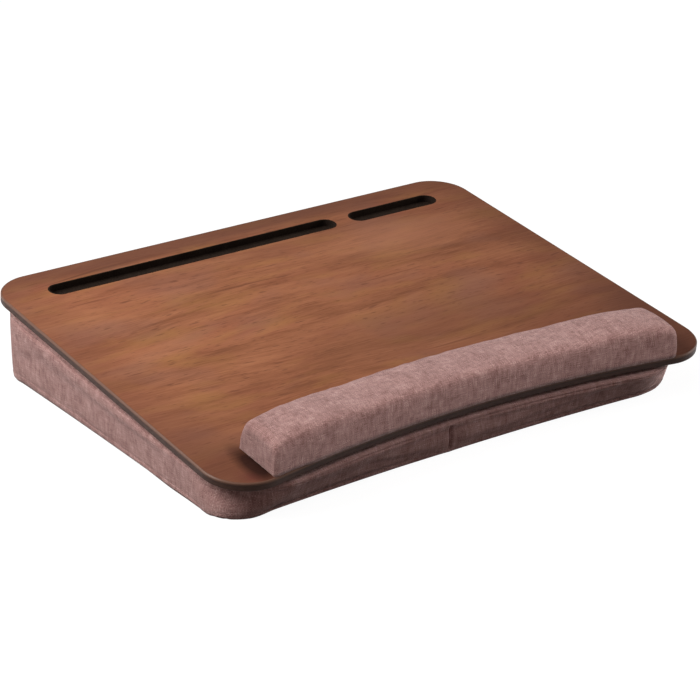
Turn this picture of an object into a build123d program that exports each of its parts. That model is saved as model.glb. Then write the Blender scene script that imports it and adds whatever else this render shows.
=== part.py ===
"""A lap tray: a walnut-faced board with two slots and a wrist rest, on a wedge-shaped cushion.

Millimetres, +Z up, the front towards -Y. The origin is on the floor, under the middle of the whole tray.
"""

import os
from math import atan, cos, radians, sin, sqrt, tan

from build123d import *

os.makedirs("parts", exist_ok=True)

# Board, measured in its own slope
board_width = 440.0
board_depth = 355.3  # from the line through the front corners to the back edge
board_thickness = 6.6
board_tilt = 6.15  # degrees, the back higher than the front
board_front_height = 30.9  # of the top face, over the line through the front corners
front_sagitta = 23.8  # how far the front edge curves in at its middle
front_corner_radius = 33.4
rear_corner_radius = 31.3
laminate_thickness = 0.8
underside_thickness = 0.6
band_thickness = 1.2
band_bevel = 0.7
bond_gap = 0.1  # glue line between the trim or a liner and the panel

# Slots
slot_width = 18.3
slot_setback = 33.0  # from the back edge to the slots' centre line
slot_left_margin = 37.0  # from the board's left side to the tablet slot, which takes up the rest of the row
slot_right_margin = 34.7  # from the phone slot to the board's right side
slot_gap = 15.0  # between the two slots
phone_slot_length = 86.9
liner_wall = 1.0
liner_floor = 1.0

# Wrist rest
rest_left_margin = 38.3  # from the board's left side
rest_right_margin = 40.0  # from the board's right side
rest_depth = 46.6
rest_height = 26.4
rest_setback = 1.0  # behind the board's front edge
rest_corner_tuck = 4.4  # how far the left front corner stands back from the curve of the front
rest_base_thickness = 2.0
rest_hem = 12.0  # width of the cover's edge turned under the base

# Cushion
cushion_left_gap = 2.6  # from its left wall to the board's left side
cushion_right_gap = 9.6
cushion_rear_gap = 11.0  # from its rear wall to the board's back edge
cushion_front_setback = 23.4  # from the line through the board's front corners to the middle of its front
cushion_rear_radius = 26.0
floor_left_radius = 28.0  # of its front corners
floor_right_radius = 54.0
shoulder_radius = 56.0
shoulder_sagitta = 26.0  # how far its front curves in, at the shoulder
floor_sagitta = 8.4  # the same, at the floor
top_lean = 4.4  # how far the front rolls back, from the shoulder to the top
edge_tuck = 5.6  # how far the walls are drawn in at the top
side_draw = 1.0  # how far the side walls pull in between the corners
flat_depth = 0.5  # of the crown that rests flat on the floor
fabric_thickness = 1.2
foam_clearance = 0.3
front_seam = -20.0  # the join of the cushion's side walls, along the front

# Hook and loop strips between the board and the cushion
hook_thickness = 1.0
loop_thickness = 1.0
strip_length = 150.0
strip_width = 25.0

# Zip in the cushion's rear wall
zip_corner_margin = 37.9  # from the first and last tooth to where the cushion's rear corners begin
zip_window_height = 9.0
zip_window_margin = 10.0  # from the last tooth to the end of the window
zip_panel_margin = 8.0  # from the window to the panel's end seams
tape_thickness = 0.6
tape_width = 10.5
tape_gap = 0.4
tape_slack = 0.15
tooth_pitch = 2.5
tooth_reach = 2.6  # from the zip's middle line to a tooth's root
tooth_height = 1.6
stop_length = 3.0
slider_length = 12.0
slider_wall = 1.1
slider_clearance = 0.3
bail_length = 7.0
bail_width = 1.6
bail_bar = 0.8
bail_room = 2.0  # under the bail's bar
pull_length = 24.0
pull_width = 6.4
pull_thickness = 1.2
pull_clearance = 0.4

# Cushion's levels, from the floor up: shares of its height, and how much of each shape they take
level_shares = (0.0, 0.11, 0.35, 0.75, 0.92, 1.0)
tuck_shares = (0.15, 0.04, 0.0, 0.0, 0.22, 1.0)
lean_shares = (0.44, 0.27, 0.10, 0.0, 0.10, 1.0)
shoulder_shares = (0.0, 0.05, 0.3, 0.9, 1.0, 1.0)
low_seam_share = 0.11
high_seam_share = 0.86
zip_level_share = 0.55

# Wrist rest's section, from its front foot over the top to its back foot
section_depth_shares = (0.0, 0.075, 0.108, 0.19, 0.42, 0.78, 0.86, 0.895, 1.0)
section_height_shares = (0.0, 0.70, 0.87, 0.955, 1.0, 0.945, 0.90, 0.80, 0.0)

# Stations along the wrist rest from its left end to its right end: the place as a share of half its length,
# then the share of its height, and the shares of the corner tuck at its front and at its back
station_shares = (
    (-1.0, 0.72, 1.0, 0.30),
    (-0.995, 0.81, 0.86, 0.14),
    (-0.985, 0.91, 0.80, 0.04),
    (-0.97, 0.97, 0.80, 0.0),
    (-0.945, 1.0, 0.78, 0.0),
    (-0.90, 1.0, 0.68, 0.0),
    (-0.85, 1.0, 0.36, 0.0),
    (-0.79, 1.0, 0.10, 0.0),
    (-0.70, 1.0, 0.0, 0.0),
    (-0.40, 1.0, 0.0, 0.0),
    (0.0, 1.0, 0.0, 0.0),
    (0.40, 1.0, 0.0, 0.0),
    (0.70, 1.0, 0.0, 0.0),
    (0.89, 1.0, 0.0, 0.0),
    (0.92, 0.985, 0.0, 0.0),
    (0.945, 0.93, 0.0, 0.02),
    (0.967, 0.83, 0.0, 0.05),
    (0.981, 0.725, 0.0, 0.09),
    (0.992, 0.61, 0.03, 0.16),
    (0.9972, 0.50, 0.10, 0.24),
    (1.0, 0.36, 0.22, 0.34),
)

# Where the strips lie, as shares of the cushion's width and the board's depth
strip_column_share = 0.52
strip_row_share = 0.55
strip_middle_share = 0.50

# A zip tooth from its root to its head and over the middle line, as shares of the pitch and of the reach
tooth_across_shares = (0.38, 0.24, 0.38, 0.24)
tooth_along_shares = (1.0, 0.45, 0.0, -0.35)

tilt = radians(board_tilt)
half_width = board_width / 2
front_radius = (half_width**2 + front_sagitta**2) / (2 * front_sagitta)
front_centre = front_sagitta - front_radius
corner_centre = front_centre + sqrt(
    (front_radius + front_corner_radius) ** 2 - (half_width - front_corner_radius) ** 2
)
corner_reach = corner_centre - front_corner_radius
rest_length = board_width - rest_left_margin - rest_right_margin
rest_shift = (rest_left_margin - rest_right_margin) / 2
cushion_width = board_width - cushion_left_gap - cushion_right_gap
cushion_shift = (cushion_left_gap - cushion_right_gap) / 2
zip_length = cushion_width - 2 * (cushion_rear_radius + zip_corner_margin)

# The front and back of the whole tray lie equally far from the origin
board_span = board_depth * cos(tilt) + board_thickness * sin(tilt)
board_front = -(corner_reach * cos(tilt) + board_span) / 2
board_back = board_front + board_depth * cos(tilt)
board_plane = Plane(
    origin=(0, board_front, board_front_height), x_dir=(1, 0, 0), z_dir=(0, -sin(tilt), cos(tilt))
)
cushion_rear = board_back - cushion_rear_gap
cushion_drop = (board_thickness + hook_thickness + loop_thickness) / cos(tilt)


def save(part, name):
    """Label a finished piece and write it under its own name."""
    part.label = name
    export_step(part, f"parts/{name}.step")


def front_edge(x, inset):
    """How far back the board's front edge lies at x, drawn in by inset."""
    return front_centre + sqrt((front_radius + inset) ** 2 - x**2)


def board_outline(inset):
    """The board's outline, drawn in by inset, in the open sketch."""
    half = half_width - inset
    rear = board_depth - inset
    front = front_edge(half, inset)
    with BuildLine() as edge:
        Line((-half, rear), (half, rear))
        Line((half, rear), (half, front))
        ThreePointArc((half, front), (0, front_edge(0, inset)), (-half, front))
        Line((-half, front), (-half, rear))
    outline = make_face(edge.edges())
    outline = fillet(outline.vertices().group_by(Axis.Y)[-1], rear_corner_radius - inset)
    fillet(outline.vertices().group_by(Axis.Y)[0], front_corner_radius - inset)


slot_row = board_depth - slot_setback
phone_slot_middle = half_width - slot_right_margin - phone_slot_length / 2
tablet_slot_length = board_width - slot_left_margin - slot_gap - phone_slot_length - slot_right_margin
tablet_slot_middle = slot_left_margin + tablet_slot_length / 2 - half_width
slots = {
    "tablet_slot_liner": (tablet_slot_middle, tablet_slot_length),
    "phone_slot_liner": (phone_slot_middle, phone_slot_length),
}


def board_sheet(top, thickness):
    """One layer of the board inside its trim, with both slots cut through it."""
    with BuildPart() as sheet:
        with BuildSketch(board_plane.offset(-top)):
            board_outline(band_thickness + bond_gap)
            for middle, length in slots.values():
                with Locations((middle, slot_row)):
                    SlotOverall(length, slot_width, mode=Mode.SUBTRACT)
        extrude(amount=-thickness)
    return sheet.part


core_thickness = board_thickness - laminate_thickness - underside_thickness
save(board_sheet(0, laminate_thickness), "walnut_laminate")
save(board_sheet(laminate_thickness, core_thickness), "board_core")
save(board_sheet(laminate_thickness + core_thickness, underside_thickness), "underside_sheet")

with BuildPart() as edge_band:
    with BuildSketch(board_plane):
        board_outline(0)
    extrude(amount=-board_thickness)
    upright = Axis(board_plane.origin, board_plane.z_dir)
    chamfer(edge_band.edges() - edge_band.edges().filter_by(upright), band_bevel)
    with BuildSketch(board_plane):
        board_outline(band_thickness)
    extrude(amount=-board_thickness, mode=Mode.SUBTRACT)
save(edge_band.part, "edge_band")


def slot_liner(middle, length):
    """A black trough that lines one slot, open at the top."""
    outer_length = length - 2 * bond_gap
    outer_width = slot_width - 2 * bond_gap
    with BuildPart() as liner:
        with BuildSketch(board_plane):
            with Locations((middle, slot_row)):
                SlotOverall(outer_length, outer_width)
        extrude(amount=-board_thickness)
        with BuildSketch(board_plane):
            with Locations((middle, slot_row)):
                SlotOverall(outer_length - 2 * liner_wall, outer_width - 2 * liner_wall)
        extrude(amount=liner_floor - board_thickness, mode=Mode.SUBTRACT)
    return liner.part


for liner_name, (slot_middle, slot_length) in slots.items():
    save(slot_liner(slot_middle, slot_length), liner_name)


def rest_section(station, height_share, front_tuck, back_tuck, inset, lift):
    """The wrist rest's cross-section at a station along the board, in the open sketch."""
    front = front_edge(station, 0) + rest_setback + inset + front_tuck
    depth = rest_depth - 2 * inset - front_tuck - back_tuck
    height = (rest_height - inset - lift) * height_share
    points = [
        (front + depth * across, lift + height * up)
        for across, up in zip(section_depth_shares, section_height_shares)
    ]
    with BuildLine() as section:
        Line(points[0], points[1])
        ThreePointArc(points[1], points[2], points[3])
        ThreePointArc(points[3], points[4], points[5])
        ThreePointArc(points[5], points[6], points[7])
        Line(points[7], points[8])
        Line(points[8], points[0])
    make_face(section.edges())


def rest_form(inset, lift):
    """The wrist rest's solid, drawn in by inset, its foot lifted off the board by lift."""
    with BuildPart() as form:
        for share, height_share, front_share, back_share in station_shares:
            station = rest_shift + share * (rest_length / 2 - inset)
            front_tuck = rest_corner_tuck * front_share
            back_tuck = rest_corner_tuck * back_share
            place = board_plane.origin + Vector(station, 0, 0)
            section_plane = Plane(origin=place, x_dir=board_plane.y_dir, z_dir=board_plane.x_dir)
            with BuildSketch(section_plane):
                rest_section(station, height_share, front_tuck, back_tuck, inset, lift)
        loft(ruled=True)
    return form.part


def line_along_front(setback):
    """An arc inside the wrist rest's hem, as far behind the board's front edge as setback."""
    half = rest_length / 2 - rest_hem
    stations = (rest_shift - half, rest_shift, rest_shift + half)
    return ThreePointArc(*[(station, front_edge(station, 0) + setback) for station in stations])


rest_base_plane = board_plane.offset(fabric_thickness + rest_base_thickness)

with BuildPart() as wrist_rest_cover:
    add(rest_form(0, 0))
    add(rest_form(fabric_thickness, fabric_thickness), mode=Mode.SUBTRACT)
    with BuildSketch(board_plane):
        with BuildLine():
            hem_front = line_along_front(rest_setback + rest_hem)
            hem_back = line_along_front(rest_setback + rest_depth - rest_hem)
            Line(hem_front @ 0, hem_back @ 0)
            Line(hem_front @ 1, hem_back @ 1)
        make_face()
    extrude(amount=fabric_thickness, mode=Mode.SUBTRACT)
save(wrist_rest_cover.part, "wrist_rest_cover")

with BuildPart() as wrist_rest_base:
    add(rest_form(fabric_thickness + foam_clearance, fabric_thickness))
    split(bisect_by=rest_base_plane, keep=Keep.BOTTOM)
save(wrist_rest_base.part, "wrist_rest_base")

with BuildPart() as wrist_rest_foam:
    add(rest_form(fabric_thickness + foam_clearance, fabric_thickness))
    split(bisect_by=rest_base_plane, keep=Keep.TOP)
save(wrist_rest_foam.part, "wrist_rest_foam")


def cushion_level(share, inset):
    """The sloping plane that holds one level of the cushion, and its slope."""
    top = board_front_height - board_front * tan(tilt) - cushion_drop
    height = share * top - (1 - share) * flat_depth + (1 - 2 * share) * inset
    slope = atan(share * tan(tilt))
    plane = Plane(origin=(cushion_shift, 0, height), x_dir=(1, 0, 0), z_dir=(0, -sin(slope), cos(slope)))
    return plane, slope


def cushion_outline(slope, tuck, lean, shoulder_share, inset):
    """One level of the cushion: concave front, sides drawn in, four rounded corners."""
    sagitta = floor_sagitta + (shoulder_sagitta - floor_sagitta) * shoulder_share
    left_radius = floor_left_radius + (shoulder_radius - floor_left_radius) * shoulder_share
    right_radius = floor_right_radius + (shoulder_radius - floor_right_radius) * shoulder_share
    half = cushion_width / 2 - tuck - inset
    rear = (cushion_rear - tuck - inset) / cos(slope)
    middle = (board_front + cushion_front_setback + lean + inset) / cos(slope)
    front = middle - sagitta
    waist = (front + rear) / 2
    with BuildLine() as edge:
        Line((-half, rear), (half, rear))
        ThreePointArc((half, rear), (half - side_draw, waist), (half, front))
        ThreePointArc((half, front), (0, middle), (-half, front))
        ThreePointArc((-half, front), (side_draw - half, waist), (-half, rear))
    outline = make_face(edge.edges())
    outline = fillet(outline.vertices().group_by(Axis.Y)[-1], cushion_rear_radius - tuck - inset)
    outline = fillet(outline.vertices().group_by(Axis.Y)[0].sort_by(Axis.X)[0], left_radius - tuck - inset)
    fillet(outline.vertices().group_by(Axis.Y)[0].sort_by(Axis.X)[-1], right_radius - tuck - inset)


def cushion_form(inset):
    """The cushion's solid, drawn in by inset, flat where it rests on the floor."""
    with BuildPart() as form:
        for share, tuck_share, lean_share, shoulder_share in zip(
            level_shares, tuck_shares, lean_shares, shoulder_shares
        ):
            plane, slope = cushion_level(share, inset)
            with BuildSketch(plane):
                cushion_outline(slope, edge_tuck * tuck_share, top_lean * lean_share, shoulder_share, inset)
        loft(ruled=True)
        split(bisect_by=Plane.XY.offset(inset), keep=Keep.TOP)
    return form.part


zip_middle, _ = cushion_level(zip_level_share, 0)
zip_height = zip_middle.origin.Z + cushion_rear * zip_level_share * tan(tilt)
zip_plane = Plane(origin=(cushion_shift, cushion_rear, zip_height), x_dir=(-1, 0, 0), z_dir=(0, 1, 0))
window_length = zip_length + 2 * zip_window_margin
panel_length = window_length + 2 * zip_panel_margin
tape_plane = zip_plane.offset(-fabric_thickness - tape_slack)
tape_length = window_length + zip_panel_margin
tapes_height = 2 * tape_width + tape_gap
panel_height = board_width  # more than the wall's, as the panel takes all of it

low_seam, _ = cushion_level(low_seam_share, 0)
high_seam, _ = cushion_level(high_seam_share, 0)

with BuildPart() as cushion_cover:
    add(cushion_form(0))
    add(cushion_form(fabric_thickness), mode=Mode.SUBTRACT)

with BuildPart() as cushion_bottom_panel:
    add(cushion_cover.part)
    split(bisect_by=low_seam, keep=Keep.BOTTOM)
save(cushion_bottom_panel.part, "cushion_bottom_panel")

with BuildPart() as cushion_top_panel:
    add(cushion_cover.part)
    split(bisect_by=high_seam, keep=Keep.TOP)
save(cushion_top_panel.part, "cushion_top_panel")

with BuildPart() as cushion_band:
    add(cushion_cover.part)
    split(bisect_by=low_seam, keep=Keep.TOP)
    split(bisect_by=high_seam, keep=Keep.BOTTOM)

with BuildPart() as cushion_zip_panel:
    add(cushion_band.part)
    with BuildSketch(zip_plane):
        Rectangle(panel_length, panel_height)
    extrude(amount=cushion_rear_radius, both=True, mode=Mode.INTERSECT)
    with BuildSketch(zip_plane):
        RectangleRounded(window_length, zip_window_height, zip_window_height / 3)
    extrude(amount=cushion_rear_radius, both=True, mode=Mode.SUBTRACT)
save(cushion_zip_panel.part, "cushion_zip_panel")

for side_name, keep in (("cushion_band_left", Keep.BOTTOM), ("cushion_band_right", Keep.TOP)):
    with BuildPart() as side_band:
        add(cushion_band.part)
        with BuildSketch(zip_plane):
            Rectangle(panel_length, panel_height)
        extrude(amount=cushion_rear_radius, both=True, mode=Mode.SUBTRACT)
        split(bisect_by=Plane.YZ.offset(front_seam), keep=keep)
    save(side_band.part, side_name)

pocket_plane = tape_plane.offset(-tape_thickness - foam_clearance)
with BuildPart() as cushion_foam:
    add(cushion_form(fabric_thickness + foam_clearance))
    with BuildSketch(pocket_plane):
        Rectangle(tape_length + 2 * foam_clearance, tapes_height + 2 * foam_clearance)
    extrude(amount=cushion_rear_gap, mode=Mode.SUBTRACT)
save(cushion_foam.part, "cushion_foam")

strip_middle = board_plane.offset(-board_thickness)
with BuildPart() as hook_strips:
    with BuildSketch(strip_middle):
        with Locations((cushion_shift, board_depth * strip_middle_share)):
            with GridLocations(cushion_width * strip_column_share, board_depth * strip_row_share, 2, 2):
                Rectangle(strip_length, strip_width)
    extrude(amount=-hook_thickness)
save(hook_strips.part, "hook_strips")

with BuildPart() as loop_strips:
    with BuildSketch(strip_middle.offset(-hook_thickness)):
        with Locations((cushion_shift, board_depth * strip_middle_share)):
            with GridLocations(cushion_width * strip_column_share, board_depth * strip_row_share, 2, 2):
                Rectangle(strip_length, strip_width)
    extrude(amount=-loop_thickness)
save(loop_strips.part, "loop_strips")

with BuildPart() as zip_tapes:
    with BuildSketch(tape_plane):
        with GridLocations(0, tape_width + tape_gap, 1, 2):
            Rectangle(tape_length, tape_width)
    extrude(amount=-tape_thickness)
save(zip_tapes.part, "zip_tapes")

tooth_count = int(zip_length / (2 * tooth_pitch))
tooth_right = [
    (tooth_pitch * across, tooth_reach * along)
    for across, along in zip(tooth_across_shares, tooth_along_shares)
]
tooth_points = tooth_right + [(-x, y) for x, y in reversed(tooth_right)]
for row_name, side in (("zip_teeth_upper", 1), ("zip_teeth_lower", -1)):
    with BuildPart() as zip_teeth:
        with BuildSketch(tape_plane):
            with Locations((side * tooth_pitch / 2, 0)):
                with GridLocations(2 * tooth_pitch, 0, tooth_count, 1):
                    Polygon(*[(x, side * y) for x, y in tooth_points], align=None)
        extrude(amount=tooth_height)
    save(zip_teeth.part, row_name)

with BuildPart() as zip_end_stops:
    with BuildSketch(tape_plane):
        with GridLocations(zip_length + tooth_pitch + stop_length, 0, 2, 1):
            RectangleRounded(stop_length, 2 * tooth_reach, stop_length / 4)
    extrude(amount=tooth_height)
save(zip_end_stops.part, "zip_end_stops")

# The slider rests closed, at the right end. The zip's plane faces back, so its x runs to the left
slider_place = -(zip_length + tooth_pitch) / 2 + slider_clearance + slider_length / 2
slider_plane = tape_plane.offset(tooth_height + slider_clearance)
slider_top = slider_plane.offset(slider_wall)
flange_inside = tooth_reach + slider_clearance
flange_outside = flange_inside + slider_wall
with BuildPart() as zip_slider:
    with BuildSketch(slider_plane):
        with Locations((slider_place, 0)):
            RectangleRounded(slider_length, 2 * flange_outside, flange_outside / 2)
    extrude(amount=slider_wall)
    with BuildSketch(tape_plane.offset(slider_clearance)):
        with Locations((slider_place, 0)):
            with GridLocations(0, 2 * flange_inside + slider_wall, 1, 2):
                Rectangle(slider_length - flange_outside, slider_wall)
    extrude(amount=tooth_height)
    with BuildSketch(Plane.XY.offset(zip_height - bail_width / 2)):
        with Locations((cushion_shift - slider_place, slider_top.origin.Y)):
            arch = Rectangle(bail_length, bail_room + bail_bar, align=(Align.CENTER, Align.MIN))
            fillet(arch.vertices().group_by(Axis.Y)[-1], bail_bar)
            bail_inside = bail_length - 2 * bail_bar
            Rectangle(bail_inside, bail_room, align=(Align.CENTER, Align.MIN), mode=Mode.SUBTRACT)
    extrude(amount=bail_width)
save(zip_slider.part, "zip_slider")

pin_plane = slider_top.offset(pull_clearance + pull_thickness / 2)
pull_eye_width = bail_width + 2 * pull_clearance
pull_eye_length = bail_length / 2 + 2 * pull_clearance
with BuildPart() as zip_pull:
    with BuildSketch(pin_plane.offset(-pull_thickness / 2)):
        with Locations((slider_place, 0)):
            tab = Rectangle(pull_length, pull_width, align=(Align.MIN, Align.CENTER))
            fillet(tab.vertices().group_by(Axis.X)[-1], pull_width / 3)
            Rectangle(pull_eye_length, pull_eye_width, align=(Align.MIN, Align.CENTER), mode=Mode.SUBTRACT)
    extrude(amount=pull_thickness)
    with BuildSketch(Plane.XY.offset(zip_height - pull_width / 2)):
        with Locations((cushion_shift - slider_place, pin_plane.origin.Y)):
            Circle(pull_thickness / 2)
    extrude(amount=pull_width)
save(zip_pull.part, "zip_pull")

# Figures that the joints and openings turn on
print("bounds of the board in Y", round(board_front, 2), round(board_back, 2))
print("zip pin", round(cushion_shift - slider_place, 2), round(pin_plane.origin.Y, 2), round(zip_height, 2))
print("zip travel", round(zip_length + tooth_pitch - slider_length - 2 * slider_clearance, 2))
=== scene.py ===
"""Looks of the lap tray: a walnut board with two slots, a linen wrist rest and a wedge cushion.

The rest and the cushion's panels are skins through rings of points. Cloth swells them with pressure
inside, and they are drawn in where they are sewn. The other pieces are the CAD's own, dressed in a
material. Sizes are in metres.
"""

import math

import bpy
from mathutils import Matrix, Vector, noise


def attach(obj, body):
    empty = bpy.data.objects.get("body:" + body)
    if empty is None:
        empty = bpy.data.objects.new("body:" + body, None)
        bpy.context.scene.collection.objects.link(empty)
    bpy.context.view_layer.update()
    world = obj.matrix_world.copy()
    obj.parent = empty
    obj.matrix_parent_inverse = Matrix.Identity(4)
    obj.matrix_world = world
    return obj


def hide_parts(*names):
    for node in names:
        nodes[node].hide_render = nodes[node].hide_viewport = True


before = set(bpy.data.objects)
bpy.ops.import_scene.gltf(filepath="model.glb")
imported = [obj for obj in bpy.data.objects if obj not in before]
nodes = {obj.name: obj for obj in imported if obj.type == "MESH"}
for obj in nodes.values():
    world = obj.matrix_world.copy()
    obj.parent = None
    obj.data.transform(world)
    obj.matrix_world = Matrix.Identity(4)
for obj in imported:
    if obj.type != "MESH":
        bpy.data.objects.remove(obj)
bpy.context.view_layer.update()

# Camera, from the photograph's perspective
CAMERA_AZIMUTH = math.radians(-34.95)
CAMERA_ELEVATION = math.radians(23.36)
CAMERA_PLACE = (-1.0325, -1.4786, 0.7997)
CAMERA_REACH = 20
SENSOR = 36.0
FOCAL_LENGTH = 131.04

# The board's slope, from the line through its front corners, and the arc of its front edge
TILT = math.radians(6.15)
BOARD_FRONT = -0.18062
BOARD_HEIGHT = 0.0309
BOARD_START = Vector((0, BOARD_FRONT, BOARD_HEIGHT))
BOARD_ALONG = Vector((0, math.cos(TILT), math.sin(TILT)))
BOARD_UP = Vector((0, -math.sin(TILT), math.cos(TILT)))
FRONT_SAGITTA = 0.0238
HALF_BOARD = 0.22
FRONT_RADIUS = (HALF_BOARD**2 + FRONT_SAGITTA**2) / (2 * FRONT_SAGITTA)

# Wrist rest. Its linen overhangs the board's front edge and hangs down over it by the lip
REST_LEFT = -0.1817
REST_RIGHT = 0.1806
REST_DEPTH = 0.0487
REST_HEIGHT = 0.0264
REST_SETBACK = -0.0012
REST_LIP = 0.0015
# Its skin starts inside its size, as room for the swell that Cloth gives it
REST_INSET = 0.0004
REST_SWELL = 0.0009
REST_PRESSURE = 2.5
REST_WAVES = ((0.00045, 0.016), (0.00028, 0.008))
# Its left front corner is tucked in, by less and less between two places
REST_TUCK = 0.0014
REST_TUCK_FADE = (-0.168, -0.142)
# Seen from above, its corners are rounded over this length and depth
REST_ROUND_LENGTH = 0.004
REST_ROUND_DEPTH = 0.0012
# Near its ends it stands higher by this share, which it gains over one stretch and partly loses over the next
REST_FULLNESS = 0.085
REST_RISE = (0.088, 0.135)
REST_FALL = (0.150, 0.172)
REST_FALL_SHARE = 0.7
# Steps along it and across its foot, and the smaller sections that close its ends
REST_STEPS = 90
REST_FOOT_STEPS = 10
REST_CAP_SCALES = (0.2, 0.45, 0.7, 0.9)
REST_CAP_HEIGHT = 0.3
# Its section: shares of its depth and height, from its front foot over the top to its back foot
REST_SECTION = (
    (0.0, 0.0), (0.0, 0.12), (0.002, 0.25), (0.005, 0.38), (0.010, 0.50), (0.017, 0.61), (0.027, 0.71),
    (0.042, 0.80), (0.065, 0.87), (0.098, 0.918), (0.145, 0.950), (0.20, 0.971), (0.27, 0.986),
    (0.35, 0.996), (0.43, 1.0), (0.50, 0.999), (0.57, 0.994), (0.64, 0.985), (0.71, 0.972), (0.77, 0.955),
    (0.82, 0.930), (0.86, 0.895), (0.89, 0.845), (0.915, 0.775), (0.935, 0.69), (0.952, 0.59),
    (0.966, 0.48), (0.978, 0.36), (0.988, 0.24), (0.996, 0.12), (1.0, 0.0),
)
# Its blunt ends, from the end inwards: distance, then the height's share
REST_END = (
    (0.0, 0.76), (0.0005, 0.825), (0.0013, 0.88), (0.0024, 0.925), (0.0039, 0.96), (0.0060, 0.985),
    (0.009, 1.0),
)

# Cushion. It stands back from the board's front and lies under the board and the hook tape, which are this
# thick together. Its own weight flattens its floor by the flat depth
CUSHION_LEFT = -0.2174
CUSHION_RIGHT = 0.2104
CUSHION_REAR = 0.16166
CUSHION_SETBACK = 0.0234
CUSHION_COVERED = 0.0086
CUSHION_FRONT = BOARD_FRONT + CUSHION_SETBACK
CUSHION_TOP = BOARD_HEIGHT - BOARD_FRONT * math.tan(TILT) - CUSHION_COVERED / math.cos(TILT)
CUSHION_SHIFT = (CUSHION_LEFT + CUSHION_RIGHT) / 2
CUSHION_MIDDLE = 0.010
CUSHION_INSET = 0.0006
CUSHION_SWELL = 0.0014
CUSHION_PRESSURE = 4
CUSHION_WAVES = (0.0005, 0.022)
FLAT_DEPTH = 0.0005
FLOOR_SAGITTA = 0.0084
SHOULDER_SAGITTA = 0.0260
REAR_RADIUS = 0.026
FLOOR_RADII = (0.028, 0.054)
SHOULDER_RADIUS = 0.056
SIDE_DRAW = 0.001
FRONT_SEAM = -0.020
ZIP_WINDOW_HALF = 0.160
ZIP_PANEL_HALF = 0.168
FABRIC = 0.0012
# How far the linen is drawn in at the upright seams, the floor's seam and the shoulder's seam
SEAM_DEPTH = 0.0015
LOW_SEAM_DEPTH = 0.0003
HIGH_SEAM_DEPTH = 0.0004
# Two columns of points stand this far from an upright seam, on each side of it
SEAM_NEAR = 0.0015
SEAM_FAR = 0.004
# Columns in each stretch of the outline
REAR_CORNER_STEPS = 12
FRONT_CORNER_STEPS = 18
SIDE_STEPS = 58
FRONT_LEFT_STEPS = 34
FRONT_RIGHT_STEPS = 42
WINDOW_STEPS = 80
# The cushion's levels: share of the height, then how far the walls are drawn in, how far the front leans
# back, and how much the front has of the shoulder's curve
CUSHION_LEVELS = (
    (0.0, 0.0008, 0.0019, 0.0), (0.11, 0.0002, 0.0012, 0.05), (0.35, 0.0, 0.0002, 0.3),
    (0.75, 0.0, 0.0006, 0.9), (0.945, 0.0006, -0.0016, 1.0), (1.0, 0.0052, 0.0020, 1.0),
)
# Rings of the cushion's skin: share of the height, and a distance above it
LOW_SEAM, HIGH_SEAM = 0.11, 0.90
WINDOW_LOW, WINDOW_HIGH = 0.4762, 0.6238
CUSHION_RINGS = (
    (0.0, 0.0), (0.03, 0.0), (LOW_SEAM, -0.0014), (LOW_SEAM, 0.0), (LOW_SEAM, 0.0014), (0.20, 0.0),
    (0.27, 0.0), (0.34, 0.0), (0.41, 0.0), (WINDOW_LOW, 0.0), (0.55, 0.0), (WINDOW_HIGH, 0.0),
    (0.69, 0.0), (0.75, 0.0), (0.81, 0.0), (HIGH_SEAM, -0.0008), (HIGH_SEAM, 0.0), (HIGH_SEAM, 0.0006),
    (0.955, 0.0), (0.975, 0.0), (0.99, 0.0), (1.0, 0.0),
)
CAP_SCALES = (0.985, 0.96, 0.92, 0.86, 0.78, 0.68, 0.56, 0.42, 0.28, 0.14)
# A panel stands for the CAD node of its name, and this one for the foam too
STANDS_FOR = {"cushion_top_panel": ("cushion_top_panel", "cushion_foam")}

FLOOR_GAP = 0.0001
CLOTH_FRAMES = 20
# Their waves fade in between these heights over the foot, and out between these places near the rear
FOOT_FADE = (0.001, 0.008)
REAR_FADE = (0.150, 0.130)

# Floor and light
FLOOR_HALF = 6
FLOOR_TONE = 0.10
FLOOR_GLOW = 0.95
WORLD_LEVEL = 0.27
WORLD_COLOUR = (1.0, 0.85, 0.82, 1)

# Linen: a yarn's width, how far yarns waver, and the slant over which a skin counts as lying flat
THREAD = 0.0009
THREAD_WAVER = 0.0012
FLAT_NORMAL = 0.62

# Tints of the walnut where a noise is strong: its clouds in a metre along each axis, their detail, the noise
# where the tint starts and where it is full, its strength, and the tint
RED_CLOUDS = ((9, 24, 1), 2.0, 0.45, 0.75, 0.5, (134, 77, 58))
GOLD_CLOUDS = ((16, 46, 2), 2.0, 0.50, 0.72, 0.6, (150, 105, 62))
DULL_CLOUDS = ((13, 26, 3), 2.0, 0.52, 0.74, 0.55, (128, 88, 74))
PORES = ((110, 800, 1), 1.0, 0.62, 0.74, 0.5, (84, 50, 36))
DASHES = ((60, 430, 2), 1.0, 0.66, 0.74, 0.55, (88, 54, 40))
LINES = ((5, 210, 1), 1.0, 0.68, 0.78, 0.6, (80, 47, 34))
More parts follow.
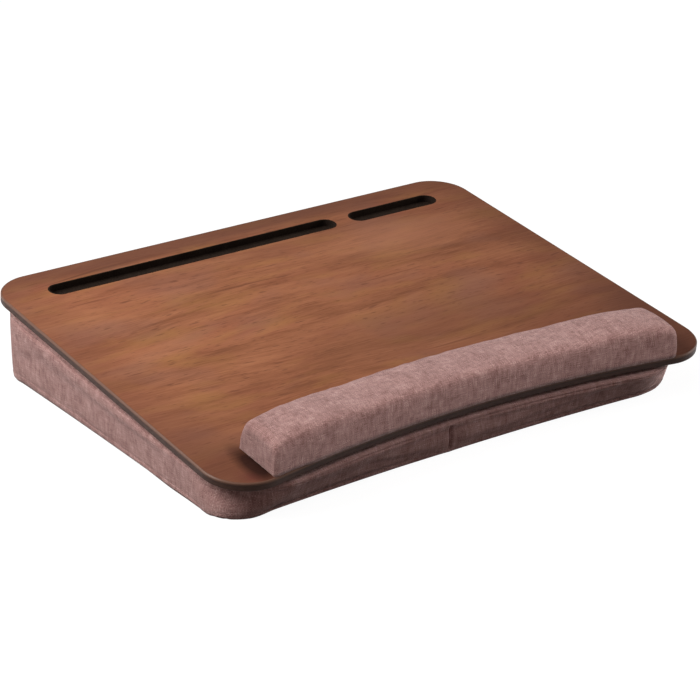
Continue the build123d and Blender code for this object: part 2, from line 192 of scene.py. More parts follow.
# Darker and paler places of the walnut, the first two a painted shadow of the rest's left end: centre, how
# much each axis counts in the distance from it, the distances where the tint starts to fade and is gone, its
# strength, and the tint
WALNUT_TONES_AND_PAINTED_SHADOW = (
    ((-0.193, -0.164), (0.8, 0.8), 0.002, 0.013, 0.7, (84, 38, 37)),  # painted reddish shadow of the rest's left end, over the left front corner
    ((-0.185, -0.151), (1.0, 0.38), 0.005, 0.013, 0.98, (22, 5, 3)),  # painted dark shadow beside the rest's left end
    ((0.040, -0.045), (0.42, 1.0), 0.010, 0.060, 0.42, (104, 66, 48)),  # behind the rest
    ((-0.040, 0.167), (0.06, 1.0), 0.008, 0.021, 0.75, (92, 58, 46)),  # behind the slots
    ((-0.216, 0.010), (1.0, 0.06), 0.004, 0.040, 0.45, (108, 66, 50)),  # the left edge
    ((0.216, 0.010), (1.0, 0.06), 0.004, 0.040, 0.40, (84, 50, 38)),  # the right edge
    ((0.000, 0.122), (0.10, 1.0), 0.002, 0.016, 0.35, (110, 70, 52)),  # before the slots
    ((0.115, 0.095), (0.5, 1.0), 0.006, 0.040, 0.45, (168, 116, 88)),  # a pale place by the short slot
)

# Plain materials: slot, dark and light tone, grains in a metre along each axis, roughness, depth of the
# relief, what else is said of them, and the CAD nodes that wear them
PLAIN_MATERIALS = (
    ("fibreboard", (112, 84, 60), (160, 128, 96), (900, 900, 900), 0.85, 0.0003, {},
     ("board_core", "wrist_rest_base")),
    ("backing", (30, 26, 24), (48, 42, 38), (500, 1400, 500), 0.7, 0.0001, {},
     ("underside_sheet",)),
    # The edge trim's rim is a painted highlight: its top lighter, as a lit bevel
    ("edge_trim", (54, 35, 29), (72, 50, 41), (220, 220, 900), 0.42, 0.0001,
     {"specular": 0.12, "rim": (112, 82, 68)}, ("edge_band",)),
    ("slot_black", (32, 25, 21), (44, 36, 31), (700, 700, 700), 0.9, 0.0001, {"specular": 0.0},
     ("tablet_slot_liner", "phone_slot_liner")),
    ("hook_and_loop", (12, 12, 13), (34, 34, 36), (1600, 1600, 1600), 0.95, 0.0006, {},
     ("hook_strips", "loop_strips")),
    ("zip_tape", (70, 52, 49), (98, 76, 72), (2600, 500, 1200), 0.9, 0.0002, {},
     ("zip_tapes",)),
    ("zip_teeth", (66, 50, 48), (84, 66, 63), (800, 800, 800), 0.4, 0.0001, {},
     ("zip_teeth_upper", "zip_teeth_lower")),
    ("zip_metal", (60, 47, 42), (92, 76, 69), (500, 500, 500), 0.35, 0.0001, {"metallic": 0.7},
     ("zip_end_stops", "zip_slider", "zip_pull")),
)


def linear(red, green, blue):
    """A colour given as 0 to 255 on screen, as the shaders want it."""
    shares = [value / 255 for value in (red, green, blue)]
    return [((s + 0.055) / 1.055) ** 2.4 if s > 0.04045 else s / 12.92 for s in shares] + [1.0]


def between(low, high, share):
    """The value that lies that share of the way from low to high."""
    return low + (high - low) * share


def spread(first, last, steps):
    """Places at even steps from first to last, with both."""
    return [between(first, last, step / steps) for step in range(steps + 1)]


def along_table(rows, key):
    """The values of a table at key, straight between its rows."""
    for first, second in zip(rows, rows[1:]):
        if key <= second[0]:
            share = (key - first[0]) / (second[0] - first[0])
            return [between(a, b, max(share, 0.0)) for a, b in zip(first[1:], second[1:])]
    return list(rows[-1][1:])


def smooth_step(low, high, value):
    """A share that goes gently from 0 at low to 1 at high."""
    share = min(max((value - low) / (high - low), 0.0), 1.0)
    return share * share * (3 - 2 * share)


def arc_depth(middle, radius, x):
    """How far back a concave arc lies at x, with its middle that far back."""
    return middle - radius + math.sqrt(radius**2 - x**2)


def front_edge(x):
    """How far behind the front corners' line the board's front edge lies at x."""
    return arc_depth(FRONT_SAGITTA, FRONT_RADIUS, x)


def on_board(x, along, up):
    """A point given by its place on the board's sloping top face."""
    return BOARD_START + Vector((x, 0, 0)) + BOARD_ALONG * along + BOARD_UP * up


# Skins


def placed(name, data):
    """An object of that data, in the scene."""
    made = bpy.data.objects.new(name, data)
    bpy.context.scene.collection.objects.link(made)
    return made


def smooth_piece(name, places, faces):
    """An object of those faces, in the scene, with smooth shading."""
    mesh = bpy.data.meshes.new(name)
    mesh.from_pydata(places, [], faces)
    mesh.update()
    piece = placed(name, mesh)
    for polygon in mesh.polygons:
        polygon.use_smooth = True
    return piece


def tube_faces(rings):
    """Faces between neighbouring closed rings of vertex numbers, and the ring and column of each."""
    faces, homes = [], []
    for row, (first, second) in enumerate(zip(rings, rings[1:])):
        for column in range(len(first)):
            after = (column + 1) % len(first)
            faces.append((first[column], first[after], second[after], second[column]))
            homes.append((row, column))
    return faces, homes


def skin(name, rings):
    """A closed skin through rings of places, with a fan over each end.

    With the object come the vertex numbers of each ring, and each face's ring and column.
    """
    places = [place for ring in rings for place in ring]
    around = len(rings[0])
    rows = [range(row * around, (row + 1) * around) for row in range(len(rings))]
    faces, homes = tube_faces(rows)
    for row, ring, turn in ((0, rows[0], -1), (len(rings) - 1, rows[-1], 1)):
        places.append(sum((places[number] for number in ring), Vector()) / around)
        for column in range(around):
            pair = (ring[column], ring[(column + 1) % around])
            faces.append((len(places) - 1, *pair[::turn]))
            homes.append((row, column))
    return smooth_piece(name, places, faces), rows, homes


def inflate(piece, pressure, pinned):
    """Lets Cloth swell the piece with pressure inside, its pinned vertices held."""
    cloth = piece.modifiers.new("cloth", "CLOTH")
    cloth.settings.use_pressure = True
    cloth.settings.uniform_pressure_force = pressure
    cloth.settings.effector_weights.gravity = 0
    cloth.collision_settings.use_collision = False
    piece.vertex_groups.new(name="sewn").add(list(pinned), 1.0, "REPLACE")
    cloth.settings.vertex_group_mass = "sewn"
    for step in range(1, CLOTH_FRAMES + 1):
        bpy.context.scene.frame_set(step)
    graph = bpy.context.evaluated_depsgraph_get()
    mesh = bpy.data.meshes.new_from_object(piece.evaluated_get(graph))
    piece.modifiers.clear()
    piece.data = mesh
    bpy.context.scene.frame_set(1)


def stuff(piece, pressure, swell, limits, pinned):
    """Fills a piece like a pillow: its skin moves out by at most swell, within the limit planes."""
    start = [vertex.co.copy() for vertex in piece.data.vertices]
    outward = [vertex.normal.copy() for vertex in piece.data.vertices]
    inflate(piece, pressure, pinned)
    for vertex, place, normal in zip(piece.data.vertices, start, outward):
        moved = vertex.co - place
        moved -= normal * min(moved.dot(normal), 0)
        vertex.co = place + moved * min(1, swell / max(moved.length, 1e-9))
        for point, beyond in limits:
            above = (vertex.co - point).dot(beyond)
            if above > 0:
                vertex.co -= beyond * above


def rumple(piece, depth, size, keep):
    """Gives a piece's skin shallow uneven waves, as worn cloth over foam has, faded by keep."""
    for vertex in piece.data.vertices:
        spot = vertex.co / size
        wave = noise.noise(spot) + 0.5 * noise.noise(spot * 2.3 + Vector((7, 3, 5)))
        vertex.co += vertex.normal * depth * wave * keep(vertex.co)


def draw_in(piece, lines):
    """Draws a piece's skin in along lines of vertices, each with its depth. The last line given counts."""
    vertices = piece.data.vertices
    drawn = {}
    for line, depth in lines:
        drawn.update({number: vertices[number].co - vertices[number].normal * depth for number in line})
    for number, place in drawn.items():
        vertices[number].co = place


# Wrist rest


def rest_stations():
    """Where the wrist rest's sections stand along the board, with the share of the height at each."""
    stations = [(REST_LEFT + away, height) for away, height in REST_END]
    first, last = REST_LEFT + REST_END[-1][0], REST_RIGHT - REST_END[-1][0]
    stations += [(between(first, last, step / REST_STEPS), 1.0) for step in range(1, REST_STEPS)]
    return stations + [(REST_RIGHT - away, height) for away, height in reversed(REST_END)]


def rest_ring(x, height, scale):
    """One closed section of the wrist rest, scaled towards a place low in its middle."""
    tuck = REST_TUCK * (1 - smooth_step(*REST_TUCK_FADE, x))
    near_left = max(0.0, 1 - (x - REST_LEFT) / REST_ROUND_LENGTH)
    near_right = max(0.0, 1 - (REST_RIGHT - x) / REST_ROUND_LENGTH)
    rounding = REST_ROUND_DEPTH * (near_left**2 + near_right**2)
    start = front_edge(x) + REST_SETBACK + REST_INSET + tuck + rounding
    depth = REST_DEPTH - 2 * REST_INSET - tuck - 2 * rounding
    fuller = smooth_step(*REST_RISE, abs(x)) * (1 - REST_FALL_SHARE * smooth_step(*REST_FALL, abs(x)))
    top = (REST_HEIGHT - REST_INSET) * height * (1 + REST_FULLNESS * fuller)
    edge = front_edge(x) - 3 * FLOOR_GAP
    lip = max(0.0, min(REST_LIP, edge - start))
    points = [(start + depth * across, top * up) for across, up in REST_SECTION]
    points[0] = (start, -lip)
    points += [(start + depth * (1 - step / REST_FOOT_STEPS), 0.0) for step in range(1, REST_FOOT_STEPS)]
    points += [(max(edge, start + FLOOR_GAP), 0.0), (max(edge, start + FLOOR_GAP), -lip)]
    middle, level = start + depth / 2, top * REST_CAP_HEIGHT
    return [(between(middle, along, scale), between(level, up, scale)) for along, up in points]


def make_rest():
    """The wrist rest's linen, swollen over its foam, its foot flat on the board."""
    stations = rest_stations()
    left = [(stations[0], scale) for scale in REST_CAP_SCALES]
    right = [(stations[-1], scale) for scale in reversed(REST_CAP_SCALES)]
    rings = []
    for (x, height), scale in left + [(station, 1.0) for station in stations] + right:
        rings.append([on_board(x, along, up + FLOOR_GAP) for along, up in rest_ring(x, height, scale)])
    made, _, _ = skin("wrist_rest_linen", rings[::-1])
    just_over = on_board(0, 0, 2 * FLOOR_GAP)
    foot = [vertex.index for vertex in made.data.vertices if (vertex.co - just_over).dot(BOARD_UP) < 0]
    lip_plane = (on_board(0, 0, FLOOR_GAP - REST_LIP), -BOARD_UP)
    stuff(made, REST_PRESSURE, REST_SWELL, [lip_plane], foot)

    def free(place):
        """The waves' share, which fades to nothing at the foot."""
        return smooth_step(*FOOT_FADE, (place - BOARD_START).dot(BOARD_UP))

    for depth, size in REST_WAVES:
        rumple(made, depth, size, free)
    return made


# Cushion


def rear_columns(corner_x):
    """Where the rear wall's columns stand, from its right corner to its left, and its marks among them."""
    beside = [corner_x, between(corner_x, ZIP_PANEL_HALF, 0.5)]
    beside += [ZIP_PANEL_HALF + SEAM_FAR, ZIP_PANEL_HALF + SEAM_NEAR]
    seam = len(beside)
    beside += [ZIP_PANEL_HALF, ZIP_PANEL_HALF - SEAM_NEAR, ZIP_PANEL_HALF - SEAM_FAR]
    window = spread(ZIP_WINDOW_HALF, -ZIP_WINDOW_HALF, WINDOW_STEPS)
    columns = beside + window + [-x for x in reversed(beside)]
    last = len(columns) - 1
    marks = {"panel_right": seam, "panel_left": last - seam}
    marks.update({"window_right": len(beside), "window_left": last - len(beside)})
    return columns, marks


def cushion_outline(share):
    """The cushion's outline at that share of its height, against the clock from its left rear corner.

    With it come its marks: the columns where its upright seams and the zip's window stand.
    """
    tuck, lean, shoulder = along_table(CUSHION_LEVELS, share)
    tuck += CUSHION_INSET
    half = (CUSHION_RIGHT - CUSHION_LEFT) / 2 - tuck
    rear = CUSHION_REAR - tuck + CUSHION_INSET / 2
    middle = CUSHION_FRONT + lean + CUSHION_INSET
    sagitta = between(FLOOR_SAGITTA, SHOULDER_SAGITTA, shoulder)
    radius = (half**2 + sagitta**2) / (2 * sagitta)
    centre = middle - radius
    rear_radius = REAR_RADIUS - tuck

    def corner(side, floor_radius):
        """A front corner, the side and rear corner behind it, and the x where it meets the front."""
        bend = between(floor_radius, SHOULDER_RADIUS, shoulder) - tuck
        stand = centre + math.sqrt((radius + bend) ** 2 - (half - bend) ** 2)
        meeting = math.atan2(stand - centre, half - bend)
        places = []
        for step in range(FRONT_CORNER_STEPS - 1, -1, -1):
            turn = (meeting - math.pi) * step / FRONT_CORNER_STEPS
            places.append((half - bend + bend * math.cos(turn), stand + bend * math.sin(turn)))
        for step in range(1, SIDE_STEPS):
            draw = SIDE_DRAW * 4 * (step / SIDE_STEPS) * (1 - step / SIDE_STEPS)
            places.append((half - draw, between(stand, rear - rear_radius, step / SIDE_STEPS)))
        for step in range(REAR_CORNER_STEPS, 0, -1):
            turn = math.pi / 2 * step / REAR_CORNER_STEPS
            x = half - rear_radius + rear_radius * math.sin(turn)
            places.append((x, rear - rear_radius * (1 - math.cos(turn))))
        return [(side * x, y) for x, y in places], side * radius * math.cos(meeting)

    left, first_x = corner(-1, FLOOR_RADII[0])
    right, last_x = corner(1, FLOOR_RADII[1])
    seam = FRONT_SEAM - CUSHION_SHIFT
    front = spread(first_x, seam - SEAM_FAR, FRONT_LEFT_STEPS) + [seam - SEAM_NEAR]
    marks = {"front_seam": len(left) + len(front)}
    front += [seam, seam + SEAM_NEAR] + spread(seam + SEAM_FAR, last_x, FRONT_RIGHT_STEPS)
    points = left[::-1] + [(x, arc_depth(middle, radius, x)) for x in front] + right
    columns, rear_marks = rear_columns(half - rear_radius)
    marks.update({mark: len(points) + column for mark, column in rear_marks.items()})
    points += [(x, rear) for x in columns]
    return [(x + CUSHION_SHIFT, y) for x, y in points], marks


def cap_ring(ring, scale, slope):
    """A ring drawn towards the cushion's middle: on the floor for slope 0, on the sloping top for 1."""
    middle = Vector((CUSHION_SHIFT, CUSHION_MIDDLE, 0))
    drawn = []
    for place in ring:
        flat = middle + (place - middle) * scale
        height = slope * (CUSHION_TOP + flat.y * math.tan(TILT)) + (1 - slope) * FLOOR_GAP
        drawn.append(Vector((flat.x, flat.y, height)))
    return drawn


def cushion_rings():
    """The cushion's rings, from its floor's middle up its walls to its top's middle, and its marks."""
    walls = []
    for share, above in CUSHION_RINGS:
        outline, marks = cushion_outline(share)
        ring = []
        for x, y in outline:
            full = CUSHION_TOP + FLAT_DEPTH + y * math.tan(TILT)
            ring.append(Vector((x, y, max(share * full + above - FLAT_DEPTH, FLOOR_GAP))))
        walls.append(ring)
    floor = [cap_ring(walls[0], scale, 0) for scale in reversed(CAP_SCALES)]
    return floor + walls + [cap_ring(walls[-1], scale, 1) for scale in CAP_SCALES], marks


def window_rim(rows, sill, lintel, right, left):
    """The vertices round the zip's window, in order."""
    rim = [rows[sill][column] for column in range(right, left)]
    rim += [rows[row][left] for row in range(sill, lintel)]
    rim += [rows[lintel][column] for column in range(left, right, -1)]
    return rim + [rows[row][right] for row in range(lintel, sill, -1)]


def make_cushion():
    """The cushion's linen, swollen over its foam, drawn in at its seams and parted into its panels."""
    rings, marks = cushion_rings()
    whole, rows, homes = skin("cushion_linen", rings)
    low, sill, lintel, high = (
        len(CAP_SCALES) + CUSHION_RINGS.index((share, 0.0))
        for share in (LOW_SEAM, WINDOW_LOW, WINDOW_HIGH, HIGH_SEAM)
    )
    right, left = marks["window_right"], marks["window_left"]
    seams = set(rows[high])
    for mark in ("front_seam", "panel_right", "panel_left"):
        seams |= {rows[row][marks[mark]] for row in range(low, high)}
    rim = window_rim(rows, sill, lintel, right, left)
    limits = [
        (Vector((0, 0, FLOOR_GAP)), Vector((0, 0, -1))),
        (Vector((0, 0, CUSHION_TOP)), BOARD_UP),
        (Vector((0, CUSHION_REAR, 0)), Vector((0, 1, 0))),
    ]
    stuff(whole, CUSHION_PRESSURE, CUSHION_SWELL, limits, seams | set(rim))

    def free(place):
        """The waves' share, which fades to nothing at the floor and at the rear wall."""
        return smooth_step(*FOOT_FADE, place.z) * smooth_step(*REAR_FADE, place.y)

    rumple(whole, *CUSHION_WAVES, free)
    draw_in(whole, ((seams, SEAM_DEPTH), (rows[low], LOW_SEAM_DEPTH), (rows[high], HIGH_SEAM_DEPTH)))

    vertices = whole.data.vertices
    panels = {}
    for polygon, (row, column) in zip(whole.data.polygons, homes):
        if sill <= row < lintel and right <= column < left:
            continue
        panel = panel_at(row, column, low, high, marks)
        panels.setdefault(panel, []).append([vertices[number].co.copy() for number in polygon.vertices])
    window = [vertices[number].co.copy() for number in rim]
    inner = [place - Vector((0, FABRIC, 0)) for place in window]
    hem = zip(window, window[1:] + window[:1], inner[1:] + inner[:1], inner)
    panels["cushion_zip_panel"] += [list(face) for face in hem]
    bpy.data.objects.remove(whole)
    return {name: panel_of(name, faces) for name, faces in panels.items()}


def panel_at(row, column, low, high, marks):
    """The panel that a face of the cushion's skin belongs to."""
    if row < low:
        return "cushion_bottom_panel"
    if row >= high:
        return "cushion_top_panel"
    if marks["panel_right"] <= column < marks["panel_left"]:
        return "cushion_zip_panel"
    if marks["front_seam"] <= column < marks["panel_right"]:
        return "cushion_band_right"
    return "cushion_band_left"


def panel_of(name, faces):
    """One linen panel of those faces, its shared corners joined."""
    numbers, places, joined = {}, [], []
    for face in faces:
        joined.append([])
        for place in face:
            key = tuple(round(value, 7) for value in place)
            if key not in numbers:
                numbers[key] = len(places)
                places.append(place)
            joined[-1].append(numbers[key])
    return smooth_piece(name + "_linen", places, joined)


# Shader nodes


def new_surface(name):
    """A new material, its node tree and its shader."""
    material = bpy.data.materials.new(name)
    material.use_nodes = True
    tree = material.node_tree
    return material, tree, tree.nodes["Principled BSDF"]


def add(tree, kind, values=None, **settings):
    """A shader node of that kind. A value that is a socket is linked to its input, others are set on it."""
    made = tree.nodes.new("ShaderNode" + kind)
    for key, value in settings.items():
        setattr(made, key, value)
    for key, value in (values or {}).items():
        if isinstance(value, bpy.types.NodeSocket):
            tree.links.new(value, made.inputs[key])
        else:
            made.inputs[key].default_value = value
    return made


def sums(tree, operation, first, second=0.0):
    """One step of arithmetic."""
    return add(tree, "Math", {0: first, 1: second}, operation=operation).outputs[0]


def weighted(tree, *pairs):
    """The sum of values, each times its weight."""
    total = sums(tree, "MULTIPLY", *pairs[0])
    for value, weight in pairs[1:]:
        total = sums(tree, "ADD", total, sums(tree, "MULTIPLY", value, weight))
    return total


def object_place(tree):
    """The point's own place on the object, in metres."""
    return add(tree, "TexCoord").outputs["Object"]


def height_over_board(tree, place):
    """How far a point lies over the plane of the board's top."""
    up = add(tree, "VectorMath", {0: place, 1: BOARD_UP}, operation="DOT_PRODUCT").outputs["Value"]
    return sums(tree, "SUBTRACT", up, BOARD_START.dot(BOARD_UP))


def mottle(tree, place, stretch, detail=2.0, roughness=0.5):
    """Cloudy noise from 0 to 1 with so many clouds in a metre along each axis."""
    scaled = add(tree, "Mapping", {"Vector": place, "Scale": stretch}).outputs[0]
    values = {"Vector": scaled, "Scale": 1.0, "Detail": detail, "Roughness": roughness}
    return add(tree, "TexNoise", values).outputs[0]


def graded(tree, share, *stops):
    """Colours that follow a share, through the stops given as (place, colour)."""
    made = add(tree, "ValToRGB", {0: share})
    elements = made.color_ramp.elements
    elements[0].position, elements[0].color = stops[0]
    elements[1].position, elements[1].color = stops[-1]
    for position, colour in stops[1:-1]:
        elements.new(position).color = colour
    return made.outputs[0]


def ranged(tree, value, low, high, to_low, to_high):
    """A value moved from one range to another, held within it."""
    values = {"Value": value, "From Min": low, "From Max": high, "To Min": to_low, "To Max": to_high}
    return add(tree, "MapRange", values).outputs[0]


def mixed(tree, share, first, second, how="MIX"):
    """Two colours mixed."""
    return add(tree, "Mix", {0: share, 6: first, 7: second}, data_type="RGBA", blend_type=how).outputs[2]


def chosen(tree, share, first, second):
    """The first number where the share is 0 and the second where it is 1."""
    return add(tree, "Mix", {0: share, 2: first, 3: second}, data_type="FLOAT").outputs[0]


def finish(tree, shader, colour, roughness, height, depth, strength):
    """Links a colour, a roughness and a relief to the shader."""
    tree.links.new(colour, shader.inputs["Base Color"])
    tree.links.new(roughness, shader.inputs["Roughness"])
    bump = add(tree, "Bump", {"Height": height, "Distance": depth, "Strength": strength})
    tree.links.new(bump.outputs[0], shader.inputs["Normal"])


# Materials


def yarn_tone(tree, number, length):
    """The tone of one yarn, which changes slowly along it."""
    row, column = sums(tree, "MULTIPLY", number, 7.31), sums(tree, "DIVIDE", length, 9.0)
    spot = add(tree, "CombineXYZ", {0: row, 1: column}).outputs[0]
    return add(tree, "TexNoise", {"Vector": spot, "Scale": 1.0, "Detail": 1.0}).outputs[0]


def weave(tree, place):
    """A plain weave laid along the skin: the height of its yarns, and the tone of the yarn on top."""
    normal = add(tree, "SeparateXYZ", {0: add(tree, "TexCoord").outputs["Normal"]})
    nx, ny, nz = (sums(tree, "ABSOLUTE", normal.outputs[axis]) for axis in range(3))
    flat = sums(tree, "GREATER_THAN", nz, FLAT_NORMAL)
    upright = sums(tree, "SUBTRACT", 1.0, flat)
    sideways = sums(tree, "MULTIPLY", sums(tree, "GREATER_THAN", nx, ny), upright)
    point = add(tree, "SeparateXYZ", {0: place})
    x, y, z = (point.outputs[axis] for axis in range(3))
    waver = mottle(tree, place, (60, 60, 60))
    shift = sums(tree, "MULTIPLY", sums(tree, "SUBTRACT", waver, 0.5), THREAD_WAVER)
    across = sums(tree, "DIVIDE", sums(tree, "ADD", chosen(tree, sideways, x, y), shift), THREAD)
    along = sums(tree, "DIVIDE", sums(tree, "SUBTRACT", chosen(tree, flat, z, y), shift), THREAD)
    warp = sums(tree, "ABSOLUTE", sums(tree, "SINE", sums(tree, "MULTIPLY", across, math.pi)))
    weft = sums(tree, "ABSOLUTE", sums(tree, "SINE", sums(tree, "MULTIPLY", along, math.pi)))
    warp_number = sums(tree, "FLOOR", across)
    weft_number = sums(tree, "FLOOR", along)
    over = sums(tree, "FLOORED_MODULO", sums(tree, "ADD", warp_number, weft_number), 2.0)
    warp_height = sums(tree, "MULTIPLY", warp, ranged(tree, weft, 0, 1, 0.5, 1))
    weft_height = sums(tree, "MULTIPLY", weft, ranged(tree, warp, 0, 1, 0.5, 1))
    height = chosen(tree, over, warp_height, weft_height)
    tone = chosen(tree, over, yarn_tone(tree, warp_number, along), yarn_tone(tree, weft_number, across))
    return height, tone


def make_linen():
    """Heathered linen in a plain weave, its yarns uneven in tone, with painted shade between its yarns and on
    the wrist rest.
    """
    material, tree, shader = new_surface("linen")
    place = object_place(tree)
    height, yarns = weave(tree, place)
    patches = mottle(tree, place, (75, 75, 75), 3.0, 0.6)
    blotches = mottle(tree, place, (290, 290, 110), 2.0, 0.6)
    tone = weighted(tree, (yarns, 0.46), (patches, 0.26), (blotches, 0.28))
    colour = graded(
        tree, tone,
        (0.37, linear(138, 99, 94)), (0.46, linear(162, 124, 118)), (0.54, linear(178, 139, 133)),
        (0.63, linear(198, 162, 155)),
    )
    # Painted shade in the gaps between the yarns, where the weave lies low
    painted_gap_shade = graded(tree, height, (0.1, (0.62, 0.57, 0.56, 1)), (0.75, (1, 1, 1, 1)))
    colour = mixed(tree, 1.0, colour, painted_gap_shade, "MULTIPLY")
    # Painted shade: the linen a little darker above the board's top, on the wrist rest, standing in for less
    # light there
    painted_rest_shade = ranged(tree, height_over_board(tree, place), -0.003, -0.002, 0, 1)
    colour = mixed(tree, painted_rest_shade, colour, (0.82, 0.81, 0.81, 1), "MULTIPLY")
    shader.inputs["Sheen Weight"].default_value = 0.12
    shader.inputs["Sheen Roughness"].default_value = 0.5
    shader.inputs["Specular IOR Level"].default_value = 0.2
    finish(tree, shader, colour, ranged(tree, tone, 0.3, 0.7, 0.95, 0.85), height, 0.00035, 0.7)
    return material


def tinted(tree, colour, place, clouds):
    """The colour with a tint where clouds of noise are strong."""
    stretch, detail, start, full, strength, tint = clouds
    share = ranged(tree, mottle(tree, place, stretch, detail), start, full, 0, strength)
    return mixed(tree, share, colour, linear(*tint))


def painted_board_shade(tree, place, drift):
    """How much painted shade darkens the wood: towards the right, and towards the front near both ends,
    unevenly.
    """
    spot = add(tree, "SeparateXYZ", {0: place})
    right = ranged(tree, spot.outputs[0], -0.05, 0.22, 0, 0.42)
    front = ranged(tree, spot.outputs[1], -0.03, -0.18, 0, 1.0)
    ends = ranged(tree, sums(tree, "ABSOLUTE", spot.outputs[0]), 0.09, 0.20, 0.12, 0.9)
    shade = sums(tree, "ADD", right, sums(tree, "MULTIPLY", front, ends))
    shade = sums(tree, "MULTIPLY", shade, ranged(tree, drift, 0.3, 0.7, 0.5, 1.3))
    return sums(tree, "MINIMUM", shade, 0.85)


def make_walnut():
    """Walnut laminate: slow bands, growth streaks, fine fibres and short dark pores along the board, with
    painted shade.
    """
    material, tree, shader = new_surface("walnut")
    place = object_place(tree)
    drift = mottle(tree, place, (2.4, 7, 1), 2.0)
    sway = sums(tree, "MULTIPLY", sums(tree, "SUBTRACT", drift, 0.5), 0.055)
    bend = add(tree, "CombineXYZ", {1: sway}).outputs[0]
    bent = add(tree, "VectorMath", {0: place, 1: bend}).outputs[0]
    bands = mottle(tree, bent, (6, 30, 1), 3.0, 0.55)
    streaks = mottle(tree, bent, (12, 130, 1), 3.0, 0.6)
    fibres = mottle(tree, bent, (40, 800, 1), 2.0, 0.6)
    colour = graded(
        tree, weighted(tree, (bands, 0.50), (streaks, 0.28), (fibres, 0.22)),
        (0.34, linear(102, 63, 43)), (0.43, linear(126, 79, 54)), (0.50, linear(142, 91, 64)),
        (0.57, linear(153, 101, 71)), (0.66, linear(163, 110, 80)),
    )
    colour = tinted(tree, colour, place, RED_CLOUDS)
    for clouds in (GOLD_CLOUDS, DULL_CLOUDS):
        colour = tinted(tree, colour, bent, clouds)
    # Painted shade: the wood darker towards the right and towards the front near both ends
    colour = mixed(tree, painted_board_shade(tree, place, drift), colour, linear(88, 52, 39))
    for clouds in (PORES, DASHES, LINES):
        colour = tinted(tree, colour, bent, clouds)
    # Tones of the walnut, and the painted shadow of the rest's left end
    for (x, y), (along, across), near, far, strength, tint in WALNUT_TONES_AND_PAINTED_SHADOW:
        flat = add(tree, "VectorMath", {0: place, 1: (along, across, 0)}, operation="MULTIPLY").outputs[0]
        centre = (x * along, y * across, 0)
        away = add(tree, "VectorMath", {0: flat, 1: centre}, operation="DISTANCE").outputs["Value"]
        colour = mixed(tree, ranged(tree, away, near, far, strength, 0), colour, linear(*tint))
    shader.inputs["Specular IOR Level"].default_value = 0.12
    finish(tree, shader, colour, ranged(tree, fibres, 0.3, 0.7, 0.60, 0.48), fibres, 0.00012, 0.3)
    return material


def make_plain(name, dark, light, stretch, roughness, depth, metallic=0.0, specular=0.5, rim=None):
    """A material whose tone, gloss and relief follow one grain, with a painted highlight as its rim at the
    board's top.
    """
    material, tree, shader = new_surface(name)
    place = object_place(tree)
    grain = mottle(tree, place, stretch, 3.0, 0.6)
    wide = mottle(tree, place, tuple(value / 9 for value in stretch), 2.0)
    tone = weighted(tree, (grain, 0.6), (wide, 0.4))
    colour = graded(tree, tone, (0.36, linear(*dark)), (0.64, linear(*light)))
    if rim:
        # Painted highlight: the band's top lighter, as a bevel catching the light
        over = height_over_board(tree, place)
        colour = mixed(tree, ranged(tree, over, -0.0022, -0.0012, 0, 0.9), colour, linear(*rim))
    shader.inputs["Metallic"].default_value = metallic
    shader.inputs["Specular IOR Level"].default_value = specular
    gloss = ranged(tree, grain, 0.3, 0.7, roughness + 0.08, roughness - 0.08)
    finish(tree, shader, colour, gloss, grain, depth, 0.5)
    return material


def dress(material, *names):
    """Gives CAD nodes their material."""
    for name in names:
        mesh = nodes[name].data
        mesh.materials.clear()
        mesh.materials.append(material)


def sew(piece, material, *stands_for):
    """Makes a linen piece a padded part of the tray, in place of the CAD nodes that it stands for."""
    piece.data.materials.append(material)
    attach(piece, "tray")
    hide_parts(*stands_for)


# Studio


def make_floor():
    """A pale floor that looks white and keeps the tray's soft shadow."""
    mesh = bpy.data.meshes.new("floor")
    corners = ((-1, -1), (1, -1), (1, 1), (-1, 1))
    mesh.from_pydata([(FLOOR_HALF * x, FLOOR_HALF * y, 0) for x, y in corners], [], [(0, 1, 2, 3)])
    material, tree, shader = new_surface("floor")
    shader.inputs["Roughness"].default_value = 0.9
    shader.inputs["Specular IOR Level"].default_value = 0.0
    shader.inputs["Base Color"].default_value = (FLOOR_TONE, FLOOR_TONE, FLOOR_TONE, 1)
    path = add(tree, "LightPath")
    seen = sums(tree, "ADD", path.outputs["Is Camera Ray"], path.outputs["Is Glossy Ray"])
    seen = sums(tree, "MINIMUM", seen, 1.0)
    shader.inputs["Emission Color"].default_value = (1, 1, 1, 1)
    tree.links.new(sums(tree, "MULTIPLY", seen, FLOOR_GLOW), shader.inputs["Emission Strength"])
    mesh.materials.append(material)
    placed("floor", mesh)


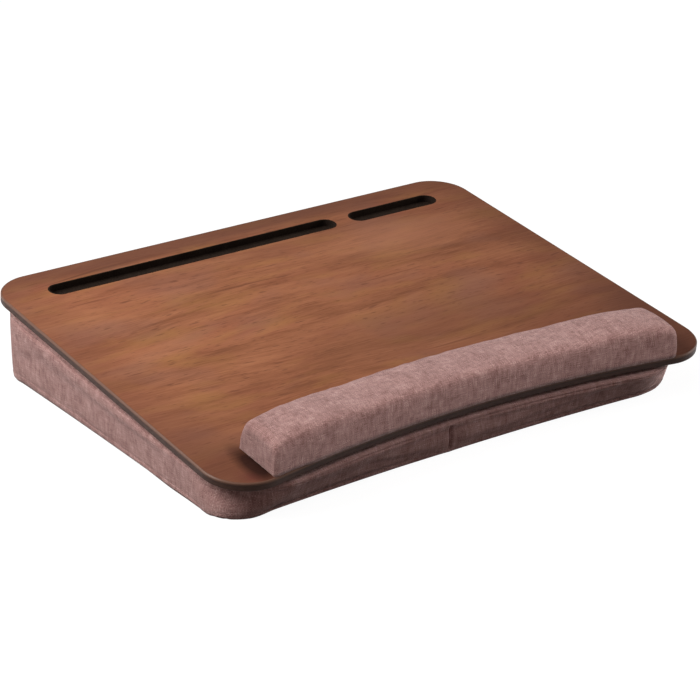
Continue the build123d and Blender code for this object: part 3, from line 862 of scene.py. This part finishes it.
def make_camera():
    """The camera at the photograph's place, looking the photograph's way."""
    data = bpy.data.cameras.new("photo_camera")
    data.sensor_width = SENSOR
    data.lens = FOCAL_LENGTH
    data.clip_end = CAMERA_REACH
    camera = placed("photo_camera", data)
    camera.location = CAMERA_PLACE
    back = Vector((
        math.sin(CAMERA_AZIMUTH) * math.cos(CAMERA_ELEVATION),
        -math.cos(CAMERA_AZIMUTH) * math.cos(CAMERA_ELEVATION),
        math.sin(CAMERA_ELEVATION),
    ))
    camera.rotation_euler = back.to_track_quat("Z", "Y").to_euler()
    bpy.context.scene.camera = camera


def make_lamp(name, place, size, watts, aim=(0, 0, 0.03), only=()):
    """A square soft lamp that looks at the tray, or lights some pieces of it only."""
    data = bpy.data.lights.new(name, "AREA")
    data.size = size
    data.energy = watts
    lamp = placed(name, data)
    lamp.location = place
    lamp.rotation_euler = (Vector(place) - Vector(aim)).to_track_quat("Z", "Y").to_euler()
    if only:
        lamp.light_linking.receiver_collection = bpy.data.collections.new(name + "_lit")
        for piece in only:
            lamp.light_linking.receiver_collection.objects.link(piece)


def make_world():
    """Even, slightly warm light, and plain white where the camera sees past the floor."""
    world = bpy.data.worlds.new("studio")
    world.use_nodes = True
    tree = world.node_tree
    background = tree.nodes["Background"]
    seen = add(tree, "LightPath").outputs["Is Camera Ray"]
    tree.links.new(mixed(tree, seen, WORLD_COLOUR, (1, 1, 1, 1)), background.inputs["Color"])
    tree.links.new(ranged(tree, seen, 0, 1, WORLD_LEVEL, 1), background.inputs["Strength"])
    bpy.context.scene.world = world


linen = make_linen()
rest = make_rest()
sew(rest, linen, "wrist_rest_cover", "wrist_rest_foam")
cushion = make_cushion()
for node, piece in cushion.items():
    sew(piece, linen, *STANDS_FOR.get(node, (node,)))

dress(make_walnut(), "walnut_laminate")
for *looks, extras, wearers in PLAIN_MATERIALS:
    dress(make_plain(*looks, **extras), *wearers)

make_floor()
make_camera()
make_lamp("key", (-1.15, 0.45, 1.15), size=0.9, watts=33)
make_lamp("over", (-0.1, -0.35, 1.75), size=0.9, watts=5)
make_lamp("side", (1.4, -0.35, 0.4), size=0.6, watts=9)
make_lamp("rest_fill", (0.1, -1.5, 0.9), size=0.7, watts=12.5, only=[rest])
make_lamp(
    "corner_fill", (0.44, -0.17, 0.08), size=0.15, watts=0.8, aim=(0.19, -0.15, 0.02),
    only=[cushion["cushion_band_right"], cushion["cushion_top_panel"]],
)
make_world()

bpy.context.scene.view_settings.view_transform = "Standard"
